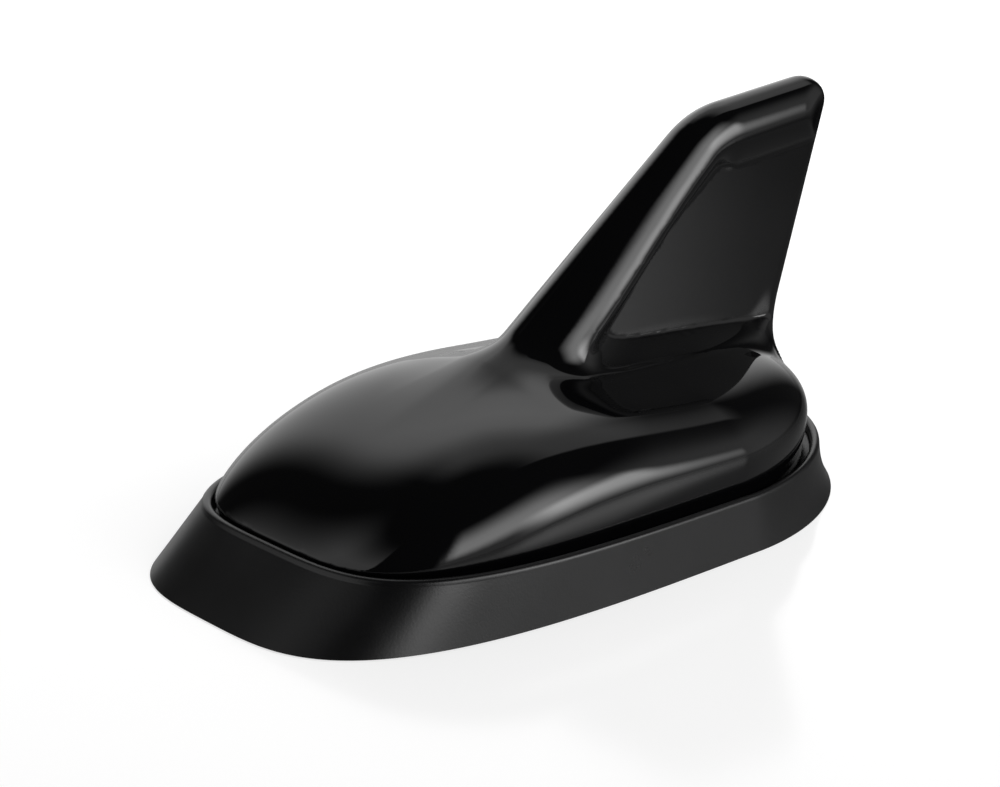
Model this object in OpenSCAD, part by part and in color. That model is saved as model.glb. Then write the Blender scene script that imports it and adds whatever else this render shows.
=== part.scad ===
// Shark fin roof aerial: gloss cover with a swept fin, rubber skirt, base plate and amplifier boards.
// X runs from the nose to the tail, Z is up, and the origin is at the middle of the underside.

/* [Skirt] */
// Length of the skirt's foot on the roof
base_len = 135; // [120:1:160]
// Width of the skirt's foot
base_w = 78.4; // [70:0.2:90]
// How far behind the middle of the foot it is widest
widest_x = 21; // [15:1:28]
// Height of the skirt's bead at the nose
bead_z_nose = 10.3; // [9.5:0.1:13]
// Height of the skirt's bead at the tail
bead_z_tail = 9.2; // [9:0.1:12]
// How far the bead stands back from the foot at the nose
slope_nose = 11.8; // [8:0.1:14]
// How far the bead stands back from the foot at the tail
slope_tail = 1.8; // [1:0.1:4]
// How far the bead stands in from the foot at the sides
slope_side = 1.9; // [1:0.1:4]
// Radius of the rounded bead
bead_r = 0.85; // [0.6:0.05:1]
// Thickness of the skirt's rubber wall
skirt_wall = 2.2; // [1.8:0.1:3]
// Thickness of the flange that is trapped under the cover
flange_t = 2; // [1.5:0.1:2.2]

/* [Cover] */
// Gap between bead and cover at the nose, counted from the bead's outside
cover_in_nose = 1.9; // [1.8:0.1:3]
// The same at the sides
cover_in_side = 2.3; // [2.1:0.1:4]
// The same at the tail
cover_in_tail = 2.8; // [2.1:0.1:5]
// Height at which the dome starts above the bead
dome_z = 10.2; // [10:0.1:12]
// Height of the dome over the nose half
dome_h_nose = 19.2; // [16:0.2:24]
// Height of the dome over the tail half
dome_h_tail = 16; // [13:0.2:20]
// Wall of the cover
cover_wall = 2.2; // [1.6:0.1:2.6]
// How far the side wall tucks in below its widest line
tuck = 0.7; // [0.3:0.1:1.2]

/* [Fin] */
// Height of the fin's tip
fin_h = 71; // [62:0.2:76]
// How far the fin's tip reaches behind the foot
tip_reach = 9; // [4:0.1:12]
// Angle of the swept leading edge
sweep = 36.7; // [32:0.1:40]
// Lean of the trailing edge from upright
rake = 18; // [12:1:22]
// Slope of the top edge
top_slope = 4.9; // [2:0.1:8]
// Length of the top edge from kink to tip corner
top_len = 34.2; // [28:0.2:40]
// Radius of the kink between leading and top edge
kink_r = 22; // [10:1:26]
// Radius of the tip's corner
tip_r = 5; // [3:0.5:7]
// Half thickness of the fin's frame at the top
fin_half_top = 4.4; // [4:0.1:5]
// Half thickness of the fin's frame at the front of its foot
fin_half_foot = 8.2; // [7:0.2:11]
// Half thickness of the fin's frame at the rear of its foot
fin_half_heel = 5; // [4.6:0.2:7]
// Width of the frame along the leading edge
frame_lead = 7; // [5:0.5:9]
// Width of the frame along the top edge
frame_top = 5; // [4:0.5:7]
// Width of the rounded step down to the side panel
step_w = 4; // [2:0.5:5]
// Height of the same step above the ledge along the fin's foot
ledge_step = 3; // [1:0.5:4]
// Half thickness of the side panel at the top
panel_half_top = 3.7; // [3:0.1:3.9]
// Half thickness of the side panel at its foot
panel_half_foot = 3.8; // [3.6:0.1:4.6]

/* [Base plate] */
// Height of the plate's underside above the roof
plate_z = 1.2; // [1:0.1:1.5]
// Thickness of the plate
plate_t = 2; // [1.6:0.1:2.2]
// Wall of the plate's raised rim
plate_rim_w = 1.8; // [1.2:0.1:2.4]
// Gap between the adhesive ring and the skirt's foot
tape_gap = 1.4; // [0.8:0.1:2.5]
// Width of the adhesive ring
tape_w = 5; // [4:0.5:6]
// Diameter of the pads round the cover screws
pad_d = 9; // [8.5:0.1:9.5]
// Place of the two front cover screws along the length
front_screw_x = -36; // [-38:1:-34]
// Place of the two rear cover screws along the length
rear_screw_x = 43; // [41:0.5:44]
// Distance from the middle to the front screws
front_screw_y = 21; // [19:0.5:22]
// Distance from the middle to the rear screws
rear_screw_y = 16.5; // [15:0.5:17]
// Shank diameter of the cover screws
screw_d = 2.9; // [2.2:0.1:3.1]
// Length of the cover screws under the head
screw_len = 12; // [9:0.5:13]

/* [Stud fixing] */
// Place of the threaded bush along the length
bush_x = 40; // [38:1:42]
// Thread diameter of the stud that the bush takes
stud_d = 5; // [4:0.5:6]
// Outer diameter of the bush
bush_d = 9; // [8:0.5:10]
// Diameter of the bush's flange
bush_flange_d = 14; // [12:0.5:15]
// Width across flats of the nut on the bush
nut_af = 13; // [12:0.5:14]
// Place of the leads' hole along the length
lead_x = -18; // [-20:1:-16]
// Diameter of the hole for the leads
lead_hole_d = 11; // [10:0.5:13]

/* [Boards] */
// Middle of the main board along the length
board_x = -2; // [-3:0.5:-1]
// Length of the main board
board_len = 64; // [60:1:66]
// Width of the main board
board_w = 32; // [30:1:34]
// Thickness of the main board
board_t = 1.6; // [1:0.2:2]
// Height of the main board's underside
board_z = 9; // [8.6:0.1:9.4]
// Thickness of the board that stands in the fin
fin_board_t = 1; // [0.8:0.1:1.2]
// Outer diameter of the coil's former
former_d = 7; // [6:0.5:8]
// Turns of the coil
coil_turns = 8; // [5:1:10]
// Wire diameter of the coil
wire_d = 0.8; // [0.5:0.1:1]
// Length of the coil's former
former_len = 17; // [15:1:18]
// Diameter of the smoothing capacitor
capacitor_d = 6.3; // [5:0.1:6.6]
// Height of the smoothing capacitor
capacitor_h = 7.7; // [6:0.1:9]
// Length of the shield can
can_len = 13; // [11:0.5:14]
// Width of the shield can
can_w = 20; // [16:0.5:22]
// Height of the shield can
can_h = 5; // [4:0.5:6]

/* [Hidden] */

// Clearances: a snug seat, a free seat, and the overlap that keeps a cut clean
snug = 0.1;
free = 0.3;
cut = 0.5;

half_len = base_len / 2;
half_w = base_w / 2;
around = 72;
turn = [for (i = [0:around - 1]) i * 360 / around];

foot_n = [3.4, 1.9];
rim_n = [3.7, 1.82];

function mix(a, b, k) = a + (b - a) * k;
function clamp01(k) = max(0, min(1, k));
function ease(k) = let (c = clamp01(k)) c * c * (3 - 2 * c);

// One point of an egg-shaped outline: blunt towards the nose, rounder towards the tail
function egg(a, nose, tail, side, n) =
    let (c = cos(a), s = sin(a), e = c < 0 ? n[0] : n[1])
    let (k = pow(pow(abs(c), e) + pow(abs(s), e), 1 / e))
    [widest_x + (c < 0 ? nose : tail) * c / k, side * s / k];

nose_len = half_len + widest_x;
tail_len = half_len - widest_x;
function foot_at(a, in) = egg(a, nose_len - in, tail_len - in, half_w - in, foot_n);
function rim_at(a, in) =
    egg(a, nose_len - slope_nose - in, tail_len - slope_tail - in, half_w - slope_side - in, rim_n);
function edge_at(a, in) = egg(a, nose_len - slope_nose - cover_in_nose - in,
    tail_len - slope_tail - cover_in_tail - in, half_w - slope_side - cover_in_side - in, rim_n);

// Heights of the stack between roof and cover
plate_top = plate_z + plate_t;
bead_z_low = min(bead_z_nose, bead_z_tail);
groove_depth = 2.2;
ledge_z = bead_z_low - groove_depth;
flange_z = ledge_z - flange_t;
function bead_z(x) = mix(bead_z_nose, bead_z_tail, (x + half_len) / base_len);

// A closed skin over rings of equal length, each ring running the same way round
module ring_skin(rings) {
    n = len(rings[0]);
    m = len(rings);
    polyhedron(
        points = [for (r = rings) each r],
        faces = concat(
            [[for (i = [0:n - 1]) i]],
            [[for (i = [n - 1:-1:0]) (m - 1) * n + i]],
            [for (j = [0:m - 2]) for (i = [0:n - 1])
                each [[j * n + i, (j + 1) * n + (i + 1) % n, j * n + (i + 1) % n],
                    [j * n + i, (j + 1) * n + i, (j + 1) * n + (i + 1) % n]]]));
}

// A closed tube: each section is a loop, and the last section joins the first
module loop_skin(sections) {
    m = len(sections);
    n = len(sections[0]);
    polyhedron(
        points = [for (s = sections) each s],
        faces = [for (j = [0:m - 1]) for (i = [0:n - 1])
            each [[j * n + i, j * n + (i + 1) % n, ((j + 1) % m) * n + (i + 1) % n],
                [j * n + i, ((j + 1) % m) * n + (i + 1) % n, ((j + 1) % m) * n + i]]]);
}

module egg_plate(in, z0, z1) {
    translate([0, 0, z0])
        linear_extrude(height = z1 - z0)
            polygon([for (a = turn) rim_at(a, in)]);
}

// Skirt section at one angle: outer wall, bead, groove, trapped flange and inner wall
function skirt_section(a) =
    let (foot = foot_at(a, 0), rim = rim_at(a, 0), top = bead_z(rim[0]), flare = max(0, cos(a)))
    let (side = top - bead_r)
    concat(
        [for (s = [0, 0.3, 0.65])
            let (g = mix(s, 1 - pow(1 - s, 2.4), flare))
            [mix(foot[0], rim[0], g), mix(foot[1], rim[1], g), s * side]],
        [for (t = [0:45:180])
            let (p = rim_at(a, bead_r * (1 - cos(t))))
            [p[0], p[1], side + bead_r * sin(t)]],
        [for (q = [[rim_at(a, 2 * bead_r), ledge_z], [edge_at(a, cover_wall + tuck + 1.5), ledge_z],
            [edge_at(a, cover_wall + tuck + 1.5), flange_z], [rim_at(a, skirt_wall), flange_z],
            [foot_at(a, skirt_wall), 0]])
            [q[0][0], q[0][1], q[1]]]);

module skirt() {
    color([0.07, 0.07, 0.07])
        placed()
            loop_skin([for (a = turn) skirt_section(a)]);
}

// Dome of the cover: rows from the lower edge over the widest line to the crown
belt_h = 4.2;
dome_p = [3.3, 2.7];
dome_q = [1.07, 2.15];
function tailness(x) = ease((x + half_len) / half_len);
crown_fall = [-0.34 * half_len, 0.49 * half_len];
function crown_h(x) =
    mix(dome_h_nose, dome_h_tail, ease((x - crown_fall[0]) / (crown_fall[1] - crown_fall[0])));
function dome_point(a, k, in) =
    let (edge = edge_at(a, in), m = tailness(edge[0]), rho = cos(90 * k))
    let (belt = mix(0.8, belt_h, m))
    let (up = pow(1 - pow(rho, mix(dome_p[0], dome_p[1], m)), 1 / mix(dome_q[0], dome_q[1], m)))
    let (x = mix(widest_x, edge[0], rho))
    [x, edge[1] * rho, dome_z + belt + (crown_h(x) - belt - in) * up];
function wall_row(z_share, in) = [for (a = turn)
    let (edge = edge_at(a, in + tuck * pow(1 - z_share, 2)), belt = mix(0.8, belt_h, tailness(edge[0])))
    [edge[0], edge[1], dome_z + belt * z_share]];

module dome(in, rows, floor_z) {
    ring_skin(concat(
        [[for (a = turn) let (e = edge_at(a, in + tuck)) [e[0], e[1], floor_z]]],
        [wall_row(0, in), wall_row(0.5, in)],
        [for (j = [0:rows - 1]) [for (a = turn) dome_point(a, j / rows, in)]],
        [[for (a = turn) dome_point(a, 1 - 0.2 / rows, in)]]));
}

// Fin outline in the XZ plane: four edges that move inwards, with rounded corners
tip_corner = [half_len + tip_reach + 1.5, fin_h];
lead_dir = [cos(sweep), sin(sweep)];
top_dir = [cos(top_slope), sin(top_slope)];
trail_dir = [sin(rake), cos(rake)];
ledge_dir = [cos(top_slope), -sin(top_slope)];
kink = tip_corner - top_len * top_dir;
root_z = 19.5;
root_point = [30, root_z];
function cross2(a, b) = a[0] * b[1] - a[1] * b[0];
function meet(p, d, q, e) = p + d * cross2(q - p, e) / cross2(d, e);
function corners(lead, top, trail, foot) =
    let (pl = kink + lead * [sin(sweep), -cos(sweep)])
    let (pt = tip_corner + top * [sin(top_slope), -cos(top_slope)])
    let (pr = tip_corner - trail * [cos(rake), -sin(rake)])
    let (pf = root_point + foot * [sin(top_slope), cos(top_slope)])
    [meet(pl, lead_dir, pf, ledge_dir), meet(pl, lead_dir, pt, top_dir),
        meet(pt, top_dir, pr, trail_dir), meet(pr, trail_dir, pf, ledge_dir)];
function unit(v) = v / norm(v);
// Points of one rounded corner, from the edge that comes in to the edge that goes out
function corner_arc(before, at, after, r, steps) =
    let (u = unit(before - at), v = unit(after - at))
    let (half = acos(u * v) / 2, reach = r / tan(half))
    let (middle = at + unit(u + v) * r / sin(half))
    let (from = at + reach * u - middle, span = 180 - 2 * half)
    [for (i = [0:steps])
        let (t = -span * i / steps)
        middle + [from[0] * cos(t) - from[1] * sin(t), from[0] * sin(t) + from[1] * cos(t)]];
function between(a, b, steps) = [for (i = [1:steps - 1]) mix(a, b, i / steps)];
recess_r = 2.5;
// One closed loop [x, z, share of trailing edge]
function fin_loop(lead, top, trail, foot, shrink) =
    let (c = corners(lead, top, trail, foot))
    let (root = corner_arc(c[3], c[0], c[1], recess_r, 4))
    let (bend = corner_arc(c[0], c[1], c[2], kink_r - shrink, 6))
    let (tip = corner_arc(c[1], c[2], c[3], max(1.2, tip_r - shrink), 6))
    let (heel = corner_arc(c[2], c[3], c[0], 1, 2))
    concat(
        [for (p = root) [p[0], p[1], 0]],
        [for (p = between(root[4], bend[0], 7)) [p[0], p[1], 0]],
        [for (p = bend) [p[0], p[1], 0]],
        [for (p = between(bend[6], tip[0], 4)) [p[0], p[1], 0]],
        [for (i = [0:6]) [tip[i][0], tip[i][1], ease(i / 6)]],
        [for (p = between(tip[6], heel[0], 6)) [p[0], p[1], 1]],
        [for (p = heel) [p[0], p[1], 1]],
        [for (p = between(heel[2], root[0], 5)) [p[0], p[1], 0]]);

foot_share_z = 27;
function down_share(z) = clamp01((fin_h - z) / (fin_h - foot_share_z));
function foot_half(x) = mix(fin_half_foot, fin_half_heel, ease(x / half_len));
function frame_half(x, z) = mix(fin_half_top, foot_half(x), pow(down_share(z), 1.3));
function panel_half(z) = mix(panel_half_top, panel_half_foot, down_share(z));
ledge_rise = 6.5;
trail_round = 1.2;
// Rings from the rim of the fin over the frame and down the step to the panel
function fin_ring(side, lead, top, trail, foot, shrink, share, sink) =
    [for (p = fin_loop(lead, top, trail, foot, shrink))
        let (frame = mix(frame_half(p[0], p[1]), panel_half(p[1]), max(sink, p[2])))
        [p[0], side * frame * share, p[1]]];
function fin_rings(side) = concat(
    [for (t = [22.5:22.5:90])
        let (k = 1 - cos(t))
        fin_ring(side, frame_lead * k, frame_top * k, trail_round * k, ledge_rise * k,
            frame_top * k, sin(t), 0)],
    [for (s = [0.2, 0.5, 0.8, 1])
        fin_ring(side, frame_lead + step_w * s, frame_top + step_w * s, trail_round * (1 + s / 3),
            ledge_rise + ledge_step * s, frame_top + 3 * s, 1, 1 - cos(90 * s))]);

// The frame's origin is the middle of the whole aerial, from the foot's nose to the fin's rear
fin_back = max([for (p = fin_loop(0, 0, 0, 0, 0)) p[0]]);
frame_shift = (half_len - fin_back) / 2;
module placed() {
    translate([frame_shift, 0, 0])
        children();
}

module fin_body() {
    left = fin_rings(1);
    right = fin_rings(-1);
    rim = [fin_ring(1, 0, 0, 0, 0, 0, 0, 0)];
    ring_skin(concat([for (i = [len(right) - 1:-1:0]) right[i]], rim, left));
}

// Slot inside the fin, which holds the upright board
slot_half = 1.7;
slot_in = 9;
slot_tail = 5.5;
slot_foot = 4;
module fin_inner_outline(in) {
    polygon([for (p = fin_loop(in, in, in - slot_tail, -slot_foot, in)) [p[0], p[1]]]);
}
// A flat XZ outline given a thickness across the middle plane, or on one side of it
module upright(y0, y1) {
    translate([0, y1, 0])
        rotate([90, 0, 0])
            linear_extrude(height = y1 - y0)
                children();
}

// Screw places, with the pads on the plate and the bosses in the cover
screw_places = [[front_screw_x, front_screw_y], [front_screw_x, -front_screw_y],
    [rear_screw_x, rear_screw_y], [rear_screw_x, -rear_screw_y]];
screw_head_d = screw_d * 1.9;
screw_head_h = 1.5;
head_seat_z = plate_z + 1.8;
boss_wall = 2.05;
boss_d = screw_d + 2 * boss_wall;
boss_rise = 12;
boss_top = dome_z + boss_rise;
web_t = 2;
web_reach = 8;
web_foot = [3, 6];
module cover_boss(p) {
    translate([p[0], p[1], flange_z])
        cylinder(d = boss_d, h = boss_top - flange_z, $fn = 28);
    hull() {
        for (i = [0, 1])
            translate([p[0], p[1] + sign(p[1]) * i * web_reach, ledge_z + web_foot[i]])
                cylinder(d = web_t, h = boss_top - ledge_z - web_foot[i], $fn = 16);
    }
}

// Ribs across the roof of the dome
rib_places = [-31, -9, 0, 8];
rib_t = 1.5;
rib_half = 13;
rib_foot = 9;
rib_h = 8;
module cover_rib(x) {
    hull() {
        for (s = [-1, 1])
            translate([x, s * rib_half, dome_z + rib_foot])
                cylinder(d = rib_t, h = rib_h, $fn = 16);
    }
}

outer_rows = 14;
inner_rows = 8;
module cover() {
    color([0.03, 0.03, 0.03])
        placed()
            difference() {
                union() {
                    difference() {
                        union() {
                            dome(0, outer_rows, ledge_z);
                            fin_body();
                        }
                        dome(cover_wall, inner_rows, ledge_z - cut);
                    }
                    intersection() {
                        dome(cover_wall / 2, 7, flange_z);
                        union() {
                            for (p = screw_places)
                                cover_boss(p);
                            for (x = rib_places)
                                cover_rib(x);
                        }
                    }
                }
                upright(-slot_half, slot_half)
                    fin_inner_outline(slot_in);
                for (p = screw_places)
                    translate([p[0], p[1], flange_z - cut])
                        cylinder(d = screw_d + 2 * snug, h = head_seat_z + screw_len - flange_z + 2 * cut, $fn = 32);
            }
}

module egg_ring(outside, inside, z0, z1) {
    translate([0, 0, z0])
        linear_extrude(height = z1 - z0)
            difference() {
                polygon([for (a = turn) rim_at(a, outside)]);
                polygon([for (a = turn) rim_at(a, inside)]);
            }
}

// Pillars for the main board
board_top = board_z + board_t;
board_screw_d = 2.2;
board_screw_len = board_t + 4.4;
board_corners = [for (i = [-1, 1]) for (j = [-1, 1])
    [board_x + i * (board_len / 2 - 4), j * (board_w / 2 - 4)]];
pillar_d = 6;

// Stack on the threaded bush: flange under the plate, then lug, washer and nut above it
flange_sink = 1;
lug_t = 0.6;
washer_t = 0.8;
washer_lip = 2.5;
nut_h = 2.6;
bush_top = plate_top + lug_t + washer_t + nut_h + 0.6;

module base_plate() {
    plate_in = skirt_wall + free;
    color([0.12, 0.12, 0.13])
        placed()
            difference() {
                union() {
                    egg_plate(plate_in, plate_z, plate_top);
                    egg_ring(plate_in, plate_in + plate_rim_w, plate_top, flange_z);
                    for (p = screw_places)
                        translate([p[0], p[1], plate_top])
                            cylinder(d = pad_d, h = flange_z - plate_top);
                    for (p = board_corners)
                        translate([p[0], p[1], plate_top])
                            cylinder(d = pillar_d, h = board_z - plate_top);
                }
                for (p = screw_places)
                    translate([p[0], p[1], 0]) {
                        cylinder(d = screw_d + free, h = flange_z + cut, $fn = 48);
                        cylinder(d = screw_head_d + free, h = head_seat_z, $fn = 48);
                    }
                for (p = board_corners)
                    translate([p[0], p[1], board_z + snug - board_screw_len])
                        cylinder(d = board_screw_d + 2 * snug, h = board_screw_len + cut, $fn = 48);
                translate([bush_x, 0, 0]) {
                    cylinder(d = bush_d + 2 * snug, h = plate_top + cut, $fn = 48);
                    cylinder(d = bush_flange_d + free, h = plate_z + flange_sink, $fn = 48);
                }
                translate([lead_x, 0, 0])
                    cylinder(d = lead_hole_d, h = plate_top + cut, $fn = 48);
            }
}

// Pan head screw, head down, standing on its seat at z = 0
module screw(d, len, head_d, head_h) {
    rotate_extrude($fn = 48)
        polygon(concat([[0, -head_h]],
            [for (t = [0:15:90]) [head_d / 2 - head_h / 2 * (1 - sin(t)), -head_h / 2 * (1 + cos(t))]],
            [[head_d / 2, 0], [d / 2, 0], [d / 2, len - d / 2], [d / 6, len], [0, len]]));
}
// Cross recess in a screw's head
module cross_recess(size, depth) {
    for (a = [0, 90])
        rotate([0, 0, a])
            translate([-size / 2, -size / 8, -depth])
                cube([size, size / 4, 2 * depth]);
}
module recessed_screw(d, len, head_d, head_h) {
    difference() {
        screw(d, len, head_d, head_h);
        translate([0, 0, -head_h])
            cross_recess(head_d * 0.55, head_h * 0.5);
    }
}
module cover_screws() {
    color([0.75, 0.75, 0.77])
        placed()
            for (p = screw_places)
                translate([p[0], p[1], head_seat_z])
                    recessed_screw(screw_d, screw_len, screw_head_d, screw_head_h);
}

module tape_ring() {
    tape_in = skirt_wall + tape_gap;
    color([0.55, 0.55, 0.55])
        placed()
            egg_ring(tape_in, tape_in + tape_w, 0, plate_z);
}

module stud_bush() {
    color([0.83, 0.67, 0.35])
        placed()
            translate([bush_x, 0, plate_z])
                difference() {
                    union() {
                        cylinder(d = bush_flange_d, h = flange_sink, $fn = 64);
                        cylinder(d = bush_d, h = bush_top - plate_z, $fn = 64);
                    }
                    translate([0, 0, -cut])
                        cylinder(d = stud_d * 0.84, h = bush_top - plate_z + 2 * cut, $fn = 64);
                }
}

// Solder lug: a ring on the bush and a tongue that stands up to the board's underside
module contact_lug() {
    lug_w = 4;
    tab_x = min(board_x + board_len / 2 - 2, bush_x - nut_af / 2 / cos(30) - 2 * lug_t);
    color([0.85, 0.7, 0.4])
        placed() {
            translate([0, 0, plate_top])
                difference() {
                    union() {
                        translate([bush_x, 0, 0])
                            cylinder(d = bush_d + 4, h = lug_t, $fn = 64);
                        translate([tab_x, -lug_w / 2, 0])
                            cube([bush_x - tab_x, lug_w, lug_t]);
                        translate([tab_x, -lug_w / 2, 0])
                            cube([lug_t, lug_w, board_z - plate_top]);
                    }
                    translate([bush_x, 0, -cut])
                        cylinder(d = bush_d + 2 * snug, h = lug_t + 2 * cut, $fn = 64);
                }
        }
}

module bush_washer() {
    color([0.7, 0.7, 0.72])
        placed()
            translate([bush_x, 0, plate_top + lug_t])
                difference() {
                    cylinder(d = bush_d + 2 * washer_lip, h = washer_t, $fn = 64);
                    translate([0, 0, -cut])
                        cylinder(d = bush_d + 2 * snug, h = washer_t + 2 * cut, $fn = 64);
                }
}

module bush_nut() {
    color([0.75, 0.75, 0.77])
        placed()
            translate([bush_x, 0, plate_top + lug_t + washer_t])
                difference() {
                    intersection() {
                        cylinder(d = nut_af / cos(30), h = nut_h, $fn = 6);
                        cylinder(r1 = nut_af / 2 + 0.3, r2 = nut_af / 2 + nut_h + 0.3, h = nut_h, $fn = 64);
                    }
                    translate([0, 0, -cut])
                        cylinder(d = bush_d + 2 * snug, h = nut_h + 2 * cut, $fn = 64);
                }
}

// Rubber grommet: a lip on each face of the plate and a waist through its hole
module lead_grommet() {
    lip = 1.8;
    way = lead_hole_d / 2 - 2.2;
    waist = lead_hole_d / 2 - snug / 2;
    color([0.1, 0.1, 0.1])
        placed()
            translate([lead_x, 0, 0])
                rotate_extrude($fn = 64)
                    polygon([[way, 0.3], [waist + lip - 0.3, 0.3], [waist + lip, 0.6], [waist + lip, plate_z],
                        [waist, plate_z], [waist, plate_top], [waist + lip, plate_top],
                        [waist + lip, plate_top + 0.5], [waist + lip - 0.6, plate_top + 1.1],
                        [way + 0.6, plate_top + 1.6], [way, plate_top + 1.6]]);
}

// Socket for the leads under the board, over the grommet, with its two pins
socket_l = 8;
socket_w = 6;
socket_h = 3.4;
pin_pitch = 2.5;
pin_w = 0.7;
pin_places = [lead_x - pin_pitch / 2, lead_x + pin_pitch / 2];
module main_board() {
    color([0.05, 0.3, 0.16])
        placed()
            translate([0, 0, board_z])
                difference() {
                    translate([board_x - board_len / 2, -board_w / 2, 0])
                        cube([board_len, board_w, board_t]);
                    for (p = board_corners)
                        translate([p[0], p[1], -cut])
                            cylinder(d = board_screw_d + free, h = board_t + 2 * cut, $fn = 48);
                    for (x = pin_places)
                        translate([x, 0, -cut])
                            cylinder(d = pin_w * 1.7, h = board_t + 2 * cut, $fn = 32);
                }
}

module board_screws() {
    color([0.75, 0.75, 0.77])
        placed()
            for (p = board_corners)
                translate([p[0], p[1], board_top])
                    rotate([180, 0, 0])
                        recessed_screw(board_screw_d, board_screw_len, board_screw_d * 2, 1.5);
}

module lead_socket() {
    color([0.9, 0.88, 0.8])
        placed()
            translate([lead_x, 0, board_z - socket_h])
                difference() {
                    translate([-socket_l / 2, -socket_w / 2, 0])
                        cube([socket_l, socket_w, socket_h]);
                    translate([-socket_l / 2 + 0.8, -socket_w / 2 + 0.8, -cut])
                        cube([socket_l - 1.6, socket_w - 1.6, socket_h - 1 + cut]);
                    for (i = [-1, 1])
                        translate([i * pin_pitch / 2, 0, 0])
                            cylinder(d = pin_w * 1.7, h = socket_h + cut, $fn = 32);
                    translate([-socket_l / 4, -socket_w / 2 - cut, -cut])
                        cube([socket_l / 2, 0.8 + 2 * cut, 1.2 + cut]);
                }
}
module socket_pins() {
    color([0.83, 0.67, 0.35])
        placed()
            for (x = pin_places)
                translate([x, 0, board_z - socket_h + 0.6]) {
                    translate([-pin_w / 2, -pin_w / 2, 0])
                        cube([pin_w, pin_w, socket_h + board_t]);
                    translate([0, 0, socket_h + board_t - 0.6])
                        cylinder(d1 = pin_w * 2.6, d2 = pin_w, h = 0.9, $fn = 32);
                }
}

// Tinned can over the amplifier, with rows of vents
can_x = board_x + 0.02 * board_len;
can_wall = 0.4;
module shield_can() {
    vent_pitch = can_len / 4;
    color([0.8, 0.8, 0.8])
        placed()
            translate([can_x, 0, board_top])
                difference() {
                    translate([-can_len / 2, -can_w / 2, 0])
                        cube([can_len, can_w, can_h]);
                    translate([-can_len / 2 + can_wall, -can_w / 2 + can_wall, -cut])
                        cube([can_len - 2 * can_wall, can_w - 2 * can_wall, can_h - can_wall + cut]);
                    for (i = [-1:1])
                        for (j = [-2:2])
                            translate([i * vent_pitch, j * vent_pitch, can_h - can_wall - cut])
                                cylinder(d = 1.4, h = can_wall + 2 * cut, $fn = 24);
                }
}

// A moulded package on legs, its body off the board
module package(l, w, h, legs, leg_w, pitch) {
    translate([-l / 2, -w / 2, 0.2])
        cube([l, w, h]);
    for (i = [0:legs - 1])
        for (s = [-1, 1])
            translate([(i - (legs - 1) / 2) * pitch - leg_w / 2, s * (w / 2 + 0.4) - 0.6, 0])
                cube([leg_w, 1.2, 0.3]);
}
module amplifier_chip() {
    color([0.08, 0.08, 0.08])
        placed()
            translate([can_x, 0, board_top])
                package(5, 4, 1.5, 4, 0.4, 1.27);
}
component_y = board_w / 2 - 6.5;
module transistor() {
    color([0.08, 0.08, 0.08])
        placed()
            translate([board_x + 0.28 * board_len, -component_y, board_top])
                package(4.5, 2.5, 1.5, 3, 0.4, 1.5);
}

front_x = board_x - board_len / 2;
module filter_chokes() {
    color([0.15, 0.13, 0.12])
        placed()
            for (x = [front_x + 0.25 * board_len, front_x + 0.34 * board_len])
                translate([x, -component_y, board_top])
                    rotate_extrude($fn = 48)
                        polygon([[0, 0], [2.4, 0], [2.4, 0.8], [1.9, 0.8], [1.9, 2.4], [2.4, 2.4],
                            [2.4, 3.2], [0, 3.2]]);
}
module smoothing_capacitor() {
    foot_t = 0.8;
    foot_w = capacitor_d + 0.3;
    r = capacitor_d / 2;
    color([0.72, 0.72, 0.74])
        placed()
            translate([front_x + 0.135 * board_len, -component_y + 3, board_top]) {
                translate([-foot_w / 2, -foot_w / 2, 0])
                    cube([foot_w, foot_w, foot_t]);
                translate([0, 0, foot_t])
                    rotate_extrude($fn = 64)
                        polygon([[0, 0], [r, 0], [r, 0.6], [r - 0.35, 0.9], [r, 1.2],
                            [r, capacitor_h - foot_t - 0.4], [r - 0.4, capacitor_h - foot_t], [0, capacitor_h - foot_t]]);
            }
}
module chip_capacitors() {
    color([0.6, 0.5, 0.38])
        placed()
            for (i = [0:4])
                translate([board_x + (0.16 + i * 0.045) * board_len, component_y + 1, board_top])
                    translate([-0.6, -1, 0])
                        cube([1.2, 2, 1.1]);
}

// Coil former: a tube lying along the board on two feet
former_x = lead_x - 9;
former_y = component_y - 3.5;
former_z = board_top + former_d / 2 + 2;
former_foot = 1.6;
module coil_former() {
    color([0.85, 0.83, 0.76])
        placed()
            difference() {
                union() {
                    translate([former_x, former_y, former_z])
                        rotate([0, 90, 0])
                            cylinder(d = former_d, h = former_len, $fn = 64);
                    for (x = [former_x, former_x + former_len - former_foot])
                        translate([x, former_y - former_d / 2, board_top])
                            cube([former_foot, former_d, former_z - board_top]);
                }
                translate([former_x - cut, former_y, former_z])
                    rotate([0, 90, 0])
                        cylinder(d = former_d - 2, h = former_len + 2 * cut, $fn = 64);
            }
}
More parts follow.
